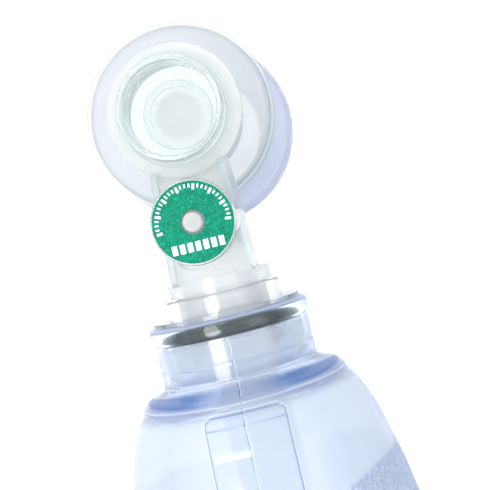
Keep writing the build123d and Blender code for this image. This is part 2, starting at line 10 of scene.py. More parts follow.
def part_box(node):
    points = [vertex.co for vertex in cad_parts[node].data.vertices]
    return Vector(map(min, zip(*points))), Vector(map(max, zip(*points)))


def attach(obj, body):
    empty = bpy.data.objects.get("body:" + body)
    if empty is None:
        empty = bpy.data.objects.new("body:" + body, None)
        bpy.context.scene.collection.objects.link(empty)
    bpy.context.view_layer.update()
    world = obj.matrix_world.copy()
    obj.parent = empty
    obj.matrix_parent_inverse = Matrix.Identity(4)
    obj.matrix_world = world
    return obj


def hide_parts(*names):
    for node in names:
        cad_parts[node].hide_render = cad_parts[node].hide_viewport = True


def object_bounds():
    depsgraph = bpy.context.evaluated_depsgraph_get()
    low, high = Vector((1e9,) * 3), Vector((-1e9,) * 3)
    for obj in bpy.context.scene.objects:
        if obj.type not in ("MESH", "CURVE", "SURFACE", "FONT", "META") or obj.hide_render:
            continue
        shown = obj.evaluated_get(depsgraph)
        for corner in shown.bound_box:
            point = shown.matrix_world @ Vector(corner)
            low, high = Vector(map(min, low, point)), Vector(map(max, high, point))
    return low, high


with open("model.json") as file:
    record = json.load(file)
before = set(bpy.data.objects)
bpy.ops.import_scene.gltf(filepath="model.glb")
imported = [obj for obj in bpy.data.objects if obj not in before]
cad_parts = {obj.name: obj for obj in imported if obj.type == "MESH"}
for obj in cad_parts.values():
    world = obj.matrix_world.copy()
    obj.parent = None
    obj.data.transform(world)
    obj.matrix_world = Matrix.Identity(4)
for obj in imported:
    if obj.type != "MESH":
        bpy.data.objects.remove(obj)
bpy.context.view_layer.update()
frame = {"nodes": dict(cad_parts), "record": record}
nodes = frame["nodes"]

MM = 0.001
AXIS_Z = 31.0  # height of the bag's axis above the patient port's mouth, mm
BAG_MID = 150.0  # the bag's middle along X, mm


# ---------------------------------------------------------------- small helpers
def smooth(a, b, x):
    """0 below a, 1 above b, eased between."""
    t = max(0.0, min(1.0, (x - a) / (b - a)))
    return t * t * (3 - 2 * t)


def bell(x, centre, width):
    """1 at the centre, fading on both sides."""
    return math.exp(-(((x - centre) / width) ** 2))


def turns(count):
    """Equal angles once round."""
    return [2 * math.pi * i / count for i in range(count)]


def spans(*legs):
    """Stations from (start, stop, count) legs, each leg without its last station, plus the very end."""
    out = []
    for start, stop, count in legs:
        out += [start + (stop - start) * i / count for i in range(count)]
    return out + [legs[-1][1]]


def curve_through(points, x):
    """Height at x of a Catmull-Rom curve through (x, y) points; level beyond its ends."""
    if x <= points[0][0]:
        return points[0][1]
    if x >= points[-1][0]:
        return points[-1][1]
    i = max(k for k in range(len(points) - 1) if points[k][0] <= x)
    (x0, y0), (x1, y1) = points[i], points[i + 1]
    before = points[i - 1] if i > 0 else (2 * x0 - x1, 2 * y0 - y1)
    after = points[i + 2] if i + 2 < len(points) else (2 * x1 - x0, 2 * y1 - y0)
    m0 = (y1 - before[1]) / (x1 - before[0])
    m1 = (after[1] - y0) / (after[0] - x0)
    h, t = x1 - x0, (x - x0) / (x1 - x0)
    return (
        (2 * t**3 - 3 * t**2 + 1) * y0
        + (t**3 - 2 * t**2 + t) * h * m0
        + (-2 * t**3 + 3 * t**2) * y1
        + (t**3 - t**2) * h * m1
    )


def mesh_object(name, verts, faces, material, shade=True):
    """Mesh object from row-frame millimetres."""
    mesh = bpy.data.meshes.new(name)
    mesh.from_pydata([Vector(v) * MM for v in verts], [], faces)
    mesh.validate()
    mesh.update()
    obj = bpy.data.objects.new(name, mesh)
    bpy.context.scene.collection.objects.link(obj)
    obj.data.materials.append(material)
    if shade:
        mesh.shade_smooth()
    return obj


def closed_grid(rings, outwards=True):
    """Tube of equal rings whose last ring joins its first, with its faces turned outwards or inwards."""
    rows, cols = len(rings), len(rings[0])
    verts = [v for ring in rings for v in ring]
    faces = []
    for i in range(rows):
        for j in range(cols):
            a, b = i * cols + j, i * cols + (j + 1) % cols
            k = (i + 1) % rows
            faces.append((a, b, k * cols + (j + 1) % cols, k * cols + j))
    centre = Vector([sum(v[i] for v in verts) / len(verts) for i in range(3)])
    volume = 0.0
    for f in faces:
        a, b, c, d = [Vector(verts[i]) - centre for i in f]
        volume += a.dot(b.cross(c)) + a.dot(c.cross(d))
    if (volume > 0) != outwards:
        faces = [tuple(reversed(f)) for f in faces]
    return verts, faces


# ---------------------------------------------------------------- materials
class Shader:
    """A material with short calls for adding nodes."""

    def __init__(self, name):
        self.material = bpy.data.materials.new(name)
        self.material.use_nodes = True
        self.tree = self.material.node_tree
        self.tree.nodes.clear()
        self.out = self.add("ShaderNodeOutputMaterial")
        self.coords = self.add("ShaderNodeTexCoord").outputs["Object"]

    def add(self, kind, inputs=None, **props):
        node = self.tree.nodes.new(kind)
        for key, value in props.items():
            setattr(node, key, value)
        for key, value in (inputs or {}).items():
            if isinstance(value, bpy.types.NodeSocket):
                self.tree.links.new(value, node.inputs[key])
            else:
                node.inputs[key].default_value = value
        return node

    def noise(self, scale, detail=3.0, roughness=0.55, vector=None):
        node = self.add(
            "ShaderNodeTexNoise",
            {"Vector": vector or self.coords, "Scale": scale, "Detail": detail, "Roughness": roughness},
        )
        return node.outputs["Fac"]

    def ramp(self, value, low, high, from_low=0.3, from_high=0.7):
        node = self.add(
            "ShaderNodeMapRange",
            {"Value": value, "From Min": from_low, "From Max": from_high, "To Min": low, "To Max": high},
        )
        return node.outputs["Result"]

    def math(self, operation, a, b=0.0):
        return self.add("ShaderNodeMath", {0: a, 1: b}, operation=operation).outputs[0]

    def mix_colour(self, factor, a, b):
        node = self.add("ShaderNodeMix", data_type="RGBA")
        for key, kind, value in (("Factor", "VALUE", factor), ("A", "RGBA", a), ("B", "RGBA", b)):
            socket = [s for s in node.inputs if s.name == key and s.type == kind][0]
            if isinstance(value, bpy.types.NodeSocket):
                self.tree.links.new(value, socket)
            else:
                socket.default_value = value
        return [s for s in node.outputs if s.type == "RGBA"][0]

    def clamp_ranges(self):
        for node in self.tree.nodes:
            if node.bl_idname == "ShaderNodeMapRange":
                node.clamp = True

    def bump(self, height, distance_mm, strength=1.0, normal=None):
        inputs = {"Height": height, "Distance": distance_mm * MM, "Strength": strength}
        if normal is not None:
            inputs["Normal"] = normal
        return self.add("ShaderNodeBump", inputs).outputs["Normal"]

    def principled(self, **inputs):
        renamed = {key.replace("_", " "): value for key, value in inputs.items()}
        return self.add("ShaderNodeBsdfPrincipled", renamed).outputs[0]

    def mix(self, factor, a, b):
        return self.add("ShaderNodeMixShader", {0: factor, 1: a, 2: b}).outputs[0]

    def rim(self, power=3.0):
        """0 where a face looks at the eye, 1 where it turns away; the materials paint shade with it, so that
        edges turning away come out darker.
        """
        facing = self.add("ShaderNodeLayerWeight", {"Blend": 0.5}).outputs["Facing"]
        return self.math("POWER", facing, power)

    def ring(self, x, y, radius, width):
        """1 on an upright cylinder about (x, y), falling to 0 within the width; all in mm."""
        split = self.add("ShaderNodeSeparateXYZ", {0: self.coords})
        dx = self.math("SUBTRACT", split.outputs["X"], x * MM)
        dy = self.math("SUBTRACT", split.outputs["Y"], y * MM)
        square = self.math("ADD", self.math("MULTIPLY", dx, dx), self.math("MULTIPLY", dy, dy))
        off = self.math("ABSOLUTE", self.math("SUBTRACT", self.math("SQRT", square), radius * MM))
        return self.ramp(off, 1.0, 0.0, 0.0, width * MM)

    def surface(self, socket, shadow_colour=None):
        """Ends the tree; with a shadow colour, shadow rays pass straight through in that colour."""
        if shadow_colour is not None:
            through = self.add("ShaderNodeBsdfTransparent", {"Color": (*shadow_colour, 1)}).outputs[0]
            shadow = self.add("ShaderNodeLightPath").outputs["Is Shadow Ray"]
            socket = self.mix(shadow, socket, through)
        self.tree.links.new(socket, self.out.inputs["Surface"])
        return self.material

    def absorb(self, colour, density):
        volume = self.add("ShaderNodeVolumeAbsorption", {"Color": (*colour, 1), "Density": density})
        self.tree.links.new(volume.outputs[0], self.out.inputs["Volume"])


def clear_plastic(name, tint=(0.93, 0.975, 0.97), density=60.0, haze=0.07, flow=0.08, rim=0.50, rings=()):
    """Polished moulded plastic: flow marks, haze, a tint that deepens with thickness, and painted shade that
    greys the edges turning away from the eye.

    Rings are corners that turn round an upright axis, as (x, y, radius, width) in mm; the same painted shade
    darkens them into lines.
    """
    s = Shader(name)
    normal = s.bump(s.noise(900.0, 3.0), 0.006, 0.15, s.bump(s.noise(45.0, 2.0), flow, 0.08))
    # painted shade: edge greys the colour of glass and haze alike where the surface turns away from the eye
    # and along the rings
    edge = s.rim()
    for x, y, radius, width in rings:
        edge = s.math("MAXIMUM", edge, s.ring(x, y, radius, width))
    painted_edge_shade = (rim, rim + 0.05, rim + 0.08, 1)
    glass = s.principled(
        Base_Color=s.mix_colour(edge, (1, 1, 1, 1), painted_edge_shade),
        Roughness=s.ramp(s.noise(260.0), 0.01, 0.04),
        IOR=1.40,
        Transmission_Weight=1.0,
        Normal=normal,
    )
    pale = s.mix_colour(edge, (*[0.25 + 0.62 * c for c in tint], 1), painted_edge_shade)
    cloud = s.principled(Base_Color=pale, Roughness=0.3, Normal=normal, Specular_IOR_Level=0.5)
    glow = s.add("ShaderNodeBsdfTranslucent", {"Color": pale}).outputs[0]
    s.absorb(tint, density)
    mixed = s.mix(s.ramp(s.noise(25.0), haze * 0.9, haze * 1.1), glass, s.mix(0.5, cloud, glow))
    s.clamp_ranges()
    return s.surface(mixed, tuple(0.93 + 0.06 * c for c in tint))


def soft_pvc(name, tint, density, milky, rough, bag=False):
    """Translucent PVC tinted by thickness, with painted shade that darkens it towards blue where it turns
    away from the eye; on the bag it is milky past the necks and grained in the grips, with painted shade in
    the grain's valleys and the painted shade and highlight of the tone attribute.
    """
    s = Shader(name)
    normal = s.bump(s.noise(60.0, 1.0), 0.12, 0.25)
    roughness = s.ramp(s.noise(220.0), *rough)
    veil = s.ramp(s.noise(30.0), milky * 0.92, milky * 1.08)
    if bag:
        x = s.add("ShaderNodeSeparateXYZ", {0: s.coords}).outputs["X"]
        from_middle = s.math("ABSOLUTE", s.math("SUBTRACT", x, BAG_MID * MM))
        body = s.add(
            "ShaderNodeMapRange",
            {"Value": from_middle, "From Min": 0.0680, "From Max": 0.0620, "To Min": 0.45, "To Max": 1.0},
            interpolation_type="SMOOTHSTEP",
        ).outputs["Result"]
        lip = s.ramp(from_middle, 0.0, 1.0, 0.0838, 0.0828)
        clear_lip = s.math("ADD", s.math("MULTIPLY", lip, 0.92), 0.08)
        veil = s.math("MULTIPLY", s.math("MULTIPLY", veil, body), clear_lip)
        # tone from the bag's skin: positive darkens towards blue, a slight tint on the neck and painted shade
        # elsewhere; negative is painted highlight, whiter and cloudier
        tone = s.add("ShaderNodeAttribute", attribute_name="tone").outputs["Fac"]
        painted_shade_and_tint = s.math("MAXIMUM", tone, 0.0)
        light = s.math("MAXIMUM", s.math("MULTIPLY", tone, -1.0), 0.0)
        veil = s.math("ADD", veil, s.math("MULTIPLY", painted_shade_and_tint, 0.55))
        veil = s.math("MINIMUM", s.math("ADD", veil, s.math("MULTIPLY", light, 0.75)), 0.96)
        zone = grip_zone(s)
        cells = s.add(
            "ShaderNodeTexVoronoi",
            {"Vector": s.coords, "Scale": 820.0, "Smoothness": 0.5},
            feature="SMOOTH_F1",
        ).outputs["Distance"]
        ruffle = s.noise(1300.0, 2.0)
        height = s.math("MULTIPLY", s.math("SUBTRACT", ruffle, cells), zone)
        normal = s.bump(height, 0.7, 1.0, normal)
        # painted shade: the grain's valleys are coloured darker blue
        valley_shade_amount = s.ramp(s.math("SUBTRACT", cells, ruffle), 0.0, 0.85, -0.28, 0.15)
        painted_valley_shade = s.math("MULTIPLY", valley_shade_amount, zone)
        roughness = s.math("ADD", roughness, s.math("MULTIPLY", zone, 0.08))
    # painted shade: darker blue where the surface turns away from the eye
    edge = s.rim(4.0)
    clear = s.mix_colour(edge, (1, 1, 1, 1), (0.42, 0.52, 0.74, 1))
    base = [0.74 + 0.26 * c if bag else 0.56 + 0.36 * c for c in tint]
    pale = s.mix_colour(edge, (*base, 1), (0.40, 0.50, 0.74, 1))
    # painted shade in the grain's valleys, painted shade and tint from tone towards dark blue, painted
    # highlight towards white
    if bag:
        clear = s.mix_colour(painted_shade_and_tint, clear, (0.27, 0.43, 0.78, 1))
        pale = s.mix_colour(painted_valley_shade, pale, (0.58, 0.69, 0.92, 1))
        pale = s.mix_colour(painted_shade_and_tint, pale, (0.10, 0.22, 0.53, 1))
        pale = s.mix_colour(light, pale, (1, 1, 1, 1))
    glass = s.principled(
        Base_Color=clear, Roughness=roughness, IOR=1.42, Transmission_Weight=1.0, Normal=normal,
        Specular_IOR_Level=s.math("ADD", s.math("MULTIPLY", lip, 0.35), 0.15) if bag else 0.5,
    )
    body = s.principled(Base_Color=pale, Roughness=roughness, Normal=normal, Specular_IOR_Level=0.9)
    glow = s.add("ShaderNodeBsdfTranslucent", {"Color": pale, "Normal": normal}).outputs[0]
    s.absorb(tint, density)
    mixed = s.mix(veil, glass, s.mix(0.5, body, glow))
    s.clamp_ranges()
    return s.surface(mixed, tuple(0.84 + 0.13 * c for c in tint))


def grip_zone(s):
    """1 on the grained grip areas of the bag, 0 on its shoulders, necks and bands."""
    split = s.add("ShaderNodeSeparateXYZ", {0: s.coords})
    wave = s.math("MULTIPLY", s.math("SUBTRACT", s.noise(25.0), 0.5), 0.003)
    across = s.math("ABSOLUTE", split.outputs["Y"])
    from_middle = s.math("ABSOLUTE", s.math("SUBTRACT", split.outputs["X"], BAG_MID * MM))
    inwards = s.math("POWER", s.math("ABSOLUTE", s.math("SUBTRACT", across, 0.040)), 2.0)
    reach = s.math("SUBTRACT", 0.0427, s.math("MULTIPLY", inwards, 12.5))
    ends = s.ramp(s.math("ADD", s.math("SUBTRACT", reach, from_middle), wave), 0.0, 1.0, 0.0, 0.0012)
    side = s.ramp(across, 0.0, 1.0, 0.0145, 0.0160)
    return s.math("MULTIPLY", ends, side)


def silicone(name):
    s = Shader(name)
    normal = s.bump(s.noise(400.0), 0.08, 0.4)
    rough = s.ramp(s.noise(150.0), 0.25, 0.42)
    glass = s.principled(
        Base_Color=(0.94, 0.97, 0.97, 1), Roughness=rough, IOR=1.41, Transmission_Weight=1.0, Normal=normal
    )
    body = s.principled(Base_Color=(0.84, 0.93, 0.93, 1), Roughness=rough, Normal=normal)
    return s.surface(s.mix(s.ramp(s.noise(80.0), 0.55, 0.68), glass, body), (0.8, 0.86, 0.86))


def dark_rubber(name):
    s = Shader(name)
    blotch = s.noise(120.0, 3.0)
    colour = s.mix_colour(s.ramp(blotch, 0.0, 1.0), (0.010, 0.022, 0.014, 1), (0.035, 0.060, 0.038, 1))
    streak = s.add("ShaderNodeMapping", {"Vector": s.coords, "Scale": (6.0, 0.7, 0.7)}).outputs[0]
    normal = s.bump(s.noise(700.0), 0.04, 0.5, s.bump(s.noise(260.0, 2.0, vector=streak), 0.5, 0.6))
    rough = s.ramp(blotch, 0.16, 0.32)
    return s.surface(s.principled(Base_Color=colour, Roughness=rough, Specular_IOR_Level=0.2, Normal=normal))


def metal_wire(name):
    s = Shader(name)
    draw = s.noise(1500.0, 2.0)
    return s.surface(
        s.principled(
            Base_Color=(0.62, 0.62, 0.60, 1),
            Metallic=1.0,
            Roughness=s.ramp(draw, 0.18, 0.34),
            Normal=s.bump(draw, 0.02, 0.5),
        )
    )


def opaque_plastic(name, colour, rough=(0.28, 0.42)):
    s = Shader(name)
    mottle = s.ramp(s.noise(180.0), 0.0, 1.0)
    tone = s.mix_colour(mottle, (*colour, 1), (*[c * 0.92 for c in colour], 1))
    grain = s.bump(s.noise(1100.0), 0.03, 0.4)
    return s.surface(s.principled(Base_Color=tone, Roughness=s.ramp(s.noise(300.0), *rough), Normal=grain))


def label_film(name):
    """Mottled green metallic film."""
    s = Shader(name)
    flakes = s.add("ShaderNodeTexVoronoi", {"Vector": s.coords, "Scale": 2600.0}).outputs["Color"]
    flake = s.add("ShaderNodeSeparateColor", {0: flakes}).outputs[0]
    cloud = s.noise(700.0, 4.0)
    patches = s.ramp(cloud, 0.0, 1.0, 0.35, 0.65)
    tone = s.mix_colour(patches, (0.0, 0.132, 0.076, 1), (0.001, 0.205, 0.124, 1))
    tone = s.mix_colour(s.ramp(flake, 0.0, 0.55, 0.80, 1.0), tone, (0.02, 0.40, 0.26, 1))
    return s.surface(
        s.principled(
            Base_Color=tone,
            Metallic=0.15,
            Specular_IOR_Level=0.12,
            Roughness=s.ramp(cloud, 0.45, 0.6),
            Normal=s.bump(flake, 0.02, 0.35),
        )
    )


def ink(name):
    s = Shader(name)
    worn = s.ramp(s.noise(1800.0, 3.0), 0.82, 0.95)
    colour = s.mix_colour(worn, (0.70, 0.80, 0.75, 1), (0.96, 0.97, 0.96, 1))
    return s.surface(s.principled(Base_Color=colour, Roughness=0.45))


CLEAR = clear_plastic("clear_polycarbonate")
CLEAR_BODY = clear_plastic("clear_body", tint=(0.93, 0.97, 0.97), density=100.0, haze=0.32, rim=0.60)
CLEAR_INNER = clear_plastic("clear_inner", tint=(0.91, 0.955, 0.965), density=150.0, haze=0.46, rim=0.52)
CLEAR_COOL = clear_plastic("clear_bush", tint=(0.92, 0.955, 0.99), density=40.0, haze=0.15, flow=0.02)
CLEAR_PORT = clear_plastic("clear_port", tint=(0.925, 0.975, 0.97), haze=0.22, flow=0.01, rim=0.78)
CLEAR_BUTTON = clear_plastic("clear_button", tint=(0.96, 0.965, 0.975), haze=0.75, flow=0.02)
RIM_AT = (-4.70, -3.74)  # the mask rim's centre in plan, mm
# painted shade lines along the corners of the dome's rim
DOME_SHADE_RINGS = ((*RIM_AT, 31.75, 0.40), (*RIM_AT, 30.45, 0.30), (*RIM_AT, 29.3, 0.22))
DOME = clear_plastic("clear_dome", tint=(0.945, 0.985, 0.98), haze=0.46, rim=0.58, rings=DOME_SHADE_RINGS)
BAG = soft_pvc("bag_pvc", (0.58, 0.73, 0.94), 105.0, 0.50, (0.03, 0.08), bag=True)
CUSHION = soft_pvc("cushion_pvc", (0.55, 0.62, 0.91), 260.0, 0.42, (0.04, 0.09))
SILICONE = silicone("clear_silicone")
SEAL = dark_rubber("dark_seal")
STEEL = metal_wire("spring_steel")
WHITE = opaque_plastic("white_plastic", (0.88, 0.88, 0.88))
GREEN = label_film("green_label")
INK = ink("white_ink")

SLOT_MATERIALS = {
    "clear_polycarbonate": CLEAR,
    "bag_pvc": BAG,
    "cushion_pvc": CUSHION,
    "clear_silicone": SILICONE,
    "dark_seal": SEAL,
    "green_label": GREEN,
    "spring_steel": STEEL,
    "white_plastic": WHITE,
}
for part in frame["record"]["subparts"]:
    obj = nodes[part["node"]]
    obj.data.materials.clear()
    obj.data.materials.append(SLOT_MATERIALS[part["material_slot"]])
for name in ("bag_coupling", "tail_coupling"):
    nodes[name].data.materials[0] = CLEAR_COOL
for name in ("inlet_chamber", "patient_connector", "flap_stop"):
    nodes[name].data.materials[0] = CLEAR_INNER
for name in ("valve_body", "reservoir_head"):
    nodes[name].data.materials[0] = CLEAR_BODY
nodes["mask_dome"].data.materials[0] = DOME
nodes["exhalation_cap"].data.materials[0] = CLEAR_PORT
nodes["relief_poppet"].data.materials[0] = CLEAR_BUTTON


# ---------------------------------------------------------------- squeeze bag
# all in mm; stations are along X, for the near end
LIP_X = 60.4  # front of the lip
LIP_R, LIP_ROUND, NECK_R, NECK_WALL, WALL = 24.3, 2.0, 23.4, 2.0, 1.8
LIP_FLAT, LIP_END = LIP_X + 4.2, LIP_X + 5.4  # where the lip's rim ends and where the neck begins
GROOVE_X = 73.0  # shallow groove round the neck
NECK_FOOT, RIDGE_X = 78.2, 83.2  # the neck's foot and the shoulder's ridge, both carrying painted highlight lines
FOLD_X = 81.0  # middle of the shoulder's fold, where painted shade is laid
BAND_X, BAND_Y, BAND_RISE, BAND_CORNER = 85.2, 11.0, 1.2, 2.6
BAND_END_SHADE_X = 88.5  # painted shade line across the band's end
BAND_TURN = math.radians(3.5)  # the bag stands a few degrees turned in the swivel
# outline of the shoulder and of the swell behind it, as (x, radius)
SHOULDER = [
    (NECK_FOOT, 23.4), (79.1, 24.1), (80.0, 25.8), (80.7, 27.7),
    (81.3, 29.0), (82.2, 30.1), (83.4, 30.8), (84.8, 31.6),
]
SWELL = SHOULDER[5:] + [(90.0, 34.6), (98.0, 37.9), (119.3, 42.7), (150.0, 46.0), (180.7, 42.7)]


def bag_radius(x):
    """Outer radius of the bag at a station, mirrored about its middle."""
    x = min(x, 2 * BAG_MID - x)
    if x < LIP_X + LIP_ROUND:
        return LIP_R - LIP_ROUND + math.sqrt(max(0.0, LIP_ROUND**2 - (LIP_X + LIP_ROUND - x) ** 2))
    if x < LIP_FLAT:
        return LIP_R
    if x < LIP_END:
        return NECK_R + (LIP_R - NECK_R) * (1 - smooth(LIP_FLAT, LIP_END, x))
    beads = 0.28 * bell(x, 78.0, 0.35) + 0.22 * bell(x, 83.3, 0.45)
    if x < SHOULDER[0][0]:
        return NECK_R + beads - 0.2 * bell(x, GROOVE_X, 0.45)
    return beads + curve_through(SHOULDER if x < SHOULDER[5][0] else SWELL, x)


def beyond_band(x, y):
    """Distance outside the band's outline, a rounded rectangle in plan; negative inside."""
    dx = abs(x - BAG_MID) - (BAG_MID - BAND_X - BAND_CORNER)
    dy = abs(y) - (BAND_Y - BAND_CORNER)
    return math.hypot(max(dx, 0.0), max(dy, 0.0)) + min(max(dx, dy), 0.0) - BAND_CORNER


def parting_line(x, y):
    """Share of the thin ridge where the mould halves met; it wanders a little."""
    slow, fast = Vector((x * 0.35, 3.1, 0.0)), Vector((x * 1.1, 7.7, 0.0))
    centre = 0.22 * noise.noise(slow) + 0.22 * noise.noise(fast)
    height = max(0.0, 0.7 + 1.1 * noise.noise(Vector((x * 1.7, 1.3, 0.0))))
    return height * bell(y, centre, 0.20)


def bag_columns(radius):
    """Angles around the bag, packed where the bands' sides and the parting line run."""
    ys = [-12.4, -11.8, -11.45, -11.3, -11.15, -11.0, -10.85, -10.7, -10.5, -10.1, -9.0]
    ys += [-7.0, -5.0, -3.0, -1.6, -0.9, -0.6, -0.42, -0.28, -0.14, 0.0]
    ys += [-y for y in reversed(ys[:-1])]
    edge = math.asin(12.4 / radius)
    side = [edge + (math.pi - 2 * edge) * i / 70 for i in range(1, 70)]
    top = [math.asin(y / radius) for y in ys]
    bottom = [math.pi - a for a in top]
    near, far = [(a, False) for a in side], [(math.pi + a, False) for a in side]
    return [(a, True) for a in top] + near + [(a, True) for a in bottom] + far


def bag_ring(x, inner=False):
    """One ring of the skin as (x, y, z, tone), from the top towards +Y; tone up to 1 darkens towards blue, a
    slight tint on the neck and painted shade elsewhere, and tone down to -1 is painted highlight.
    """
    base = bag_radius(x)
    near = min(x, 2 * BAG_MID - x)
    ring = []
    for angle, near_band in bag_columns(max(base, NECK_R)):
        y, up = base * math.sin(angle), math.cos(angle)
        r, tone = base, 0.0
        if inner:
            thin = smooth(79.0, 87.5, near)
            r = (NECK_R - NECK_WALL) * (1 - thin) + (base - WALL) * thin
        else:
            side = abs(math.sin(angle))
            width = 0.30 + 1.75 * math.sqrt(max(0.0, 1.0 - side**2))
            tone = 0.15 * (1 - smooth(76.6, NECK_FOOT, near)) * smooth(65.0, 67.0, near)
            # painted shade: dark blue crescents along the shoulder's fold, darkest and narrowest at the sides
            tone += (0.26 + 1.0 * smooth(0.0, 0.75, side)) * math.exp(-(((near - FOLD_X) / width) ** 4))
            # painted highlight: bright lines at the neck's foot and on the shoulder's ridge
            tone -= 0.60 * bell(near, NECK_FOOT, 0.20) + 0.60 * bell(near, RIDGE_X, 0.28)
            # painted highlight: the lip's front edge whitened
            tone -= 0.55 * (1 - smooth(LIP_X + 0.4, LIP_X + 1.6, near))
            if near_band:
                outside = beyond_band(x, y)
                r += BAND_RISE * (1 - smooth(-0.38, 0.38, outside))
                # painted shade line just inside the band's edge and painted highlight line just outside it
                tone += 0.85 * bell(outside, -0.30, 0.22) - 0.80 * bell(outside, 0.22, 0.20)
                # painted shade: a blue line across the band's end, stronger towards its sides
                arc = bell(near, BAND_END_SHADE_X, 0.26) * (1 - smooth(-0.9, -0.4, outside))
                tone += arc * (0.30 + 0.5 * (y / BAND_Y) ** 2)
            if near_band and near > LIP_END:
                r += 0.24 * parting_line(x, y)
                # painted shade beside the parting ridge and painted highlight on it
                tone += 0.95 * parting_line(x, y + 0.30) - 0.65 * parting_line(x, y - 0.02)
            swell = smooth(84.0, 100.0, near)
            place = Vector((x * 0.03, math.sin(angle) * 1.4, up * 1.4))
            r += 0.5 * swell * (noise.noise(place) - 0.35)
        turned = angle + BAND_TURN
        ring.append((x, r * math.sin(turned), AXIS_Z + r * math.cos(turned), tone))
    return ring


def make_bag():
    half = spans(
        (LIP_X, LIP_X + 0.4, 5), (LIP_X + 0.4, LIP_X + LIP_ROUND, 5), (LIP_X + LIP_ROUND, LIP_FLAT, 3),
        (LIP_FLAT, LIP_END, 6), (LIP_END, 72.0, 14), (72.0, 74.0, 10), (74.0, 76.4, 5),
        (76.4, 84.4, 64), (84.4, 89.4, 34), (89.4, 104.0, 34), (104.0, BAG_MID, 60),
    )
    stations = half + [2 * BAG_MID - x for x in reversed(half[:-1])]
    outer = [bag_ring(x) for x in stations]
    inner_half = spans((LIP_X, 76.0, 4), (76.0, 85.0, 36), (85.0, BAG_MID, 60))
    inner_x = inner_half + [2 * BAG_MID - x for x in reversed(inner_half[:-1])]
    inner = [bag_ring(x, inner=True) for x in reversed(inner_x)]
    rings = outer + inner
    verts, faces = closed_grid([[v[:3] for v in ring] for ring in rings])
    bag = mesh_object("bag_skin", verts, faces, BAG)
    # tone attribute: painted shade and painted highlight for the bag's material
    tone = bag.data.attributes.new("tone", "FLOAT", "POINT")
    tone.data.foreach_set("value", [max(-1.0, min(1.0, v[3])) for ring in rings for v in ring])
    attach(bag, "bag")
    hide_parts("squeeze_bag")


# ---------------------------------------------------------------- mask cushion
MASK_TURN = math.radians(38.5)
CUSHION_FOOT, CUSHION_TOP = -46.0 + AXIS_Z, -33.87 + AXIS_Z
CUSHION_SPAN = (-6.0, 2.4)
CUSHION_MID_R, CUSHION_HALF = 25.35, 5.8
CUSHION_SKIN, CUSHION_SQUARE = 0.55, 2.9  # the wall, and the superellipse's exponent
CUSHION_STEPS = 150


def stadium(share):
    """Point and outward direction on the cushion's centre line, share 0..1 of the way round."""
    low, high = CUSHION_SPAN
    arc, flat = math.pi * CUSHION_MID_R, high - low
    d = share * 2 * (arc + flat)
    if d < arc:
        a = -math.pi / 2 + d / CUSHION_MID_R
        return high + CUSHION_MID_R * math.cos(a), CUSHION_MID_R * math.sin(a), math.cos(a), math.sin(a)
    d -= arc
    if d < flat:
        return high - d, CUSHION_MID_R, 0.0, 1.0
    d -= flat
    if d < arc:
        a = math.pi / 2 + d / CUSHION_MID_R
        return low + CUSHION_MID_R * math.cos(a), CUSHION_MID_R * math.sin(a), math.cos(a), math.sin(a)
    d -= arc
    return low + d, -CUSHION_MID_R, 0.0, -1.0


def cushion_section(inset, share):
    """Blown-up section: full at the outside, flat where it meets the face and under the dome's rim."""
    mid_z, half_z = (CUSHION_FOOT + CUSHION_TOP) / 2, (CUSHION_TOP - CUSHION_FOOT) / 2
    x, y, nx, ny = stadium(share)
    swell = 0.12 * noise.noise(Vector((nx * 2.0, ny * 2.0, 4.2)))
    cos_turn, sin_turn = math.cos(MASK_TURN), math.sin(MASK_TURN)
    points = []
    power = 2 / CUSHION_SQUARE
    for a in turns(56):
        c, s = math.cos(a), math.sin(a)
        out = math.copysign(abs(c) ** power, c) * (CUSHION_HALF - inset + (swell if c > 0 else 0.0) - 0.12)
        up = math.copysign(abs(s) ** power, s) * (half_z - inset)
        if inset == 0 and c > 0:
            out += 0.16 * bell(up, 0.4, 0.28)
        px, py = x + nx * out, y + ny * out
        points.append((px * cos_turn - py * sin_turn, px * sin_turn + py * cos_turn, mid_z + up))
    return points


def make_cushion():
    shares = [i / CUSHION_STEPS for i in range(CUSHION_STEPS)]
    verts, faces = closed_grid([cushion_section(0.0, share) for share in shares])
    inner = [cushion_section(CUSHION_SKIN, share) for share in shares]
    inner_verts, inner_faces = closed_grid(inner, outwards=False)
    shift = len(verts)
    faces += [tuple(v + shift for v in f) for f in inner_faces]
    cushion = mesh_object("cushion_skin", verts + inner_verts, faces, CUSHION)
    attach(cushion, "mask")
    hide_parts("mask_cushion")


# ---------------------------------------------------------------- seal rings and filling tube
SEAL_X, SEAL_R, SEAL_FOOT_R = (61.12, 65.88), 21.32, 20.24
TUBE_TURN, TUBE_Z, TUBE_S, TUBE_R, TUBE_BORE = math.radians(-12.0), -8.1, (29.5, 41.0), 2.3, 1.27


def turned_piece(name, node, body, material, outline, place):
    """Closed outline of (along, radius) turned about an axis; place takes (along, across, up)."""
    rings = [[place(along, r * math.cos(a), r * math.sin(a)) for a in turns(120)] for along, r in outline]
    piece = mesh_object(name, *closed_grid(rings), material)
    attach(piece, body)
    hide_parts(node)


def seal_outline():
    """Soft ring with rounded corners and three ribs that press on the bag's lip."""
    low, high = SEAL_X
    outline = [(low + 0.2, SEAL_FOOT_R), (low, SEAL_FOOT_R + 0.2), (low, SEAL_R - 0.45)]
    for i in range(37):
        t = i / 36
        corner = 0.30 * math.exp(-t / 0.03) + 0.30 * math.exp(-(1 - t) / 0.03)
        rib = 0.24 * math.sin(3 * math.pi * t) ** 2
        outline.append((low + 0.06 + (high - low - 0.12) * t, SEAL_R - corner - rib))
    return outline + [(high, SEAL_R - 0.45), (high, SEAL_FOOT_R + 0.2), (high - 0.2, SEAL_FOOT_R)]


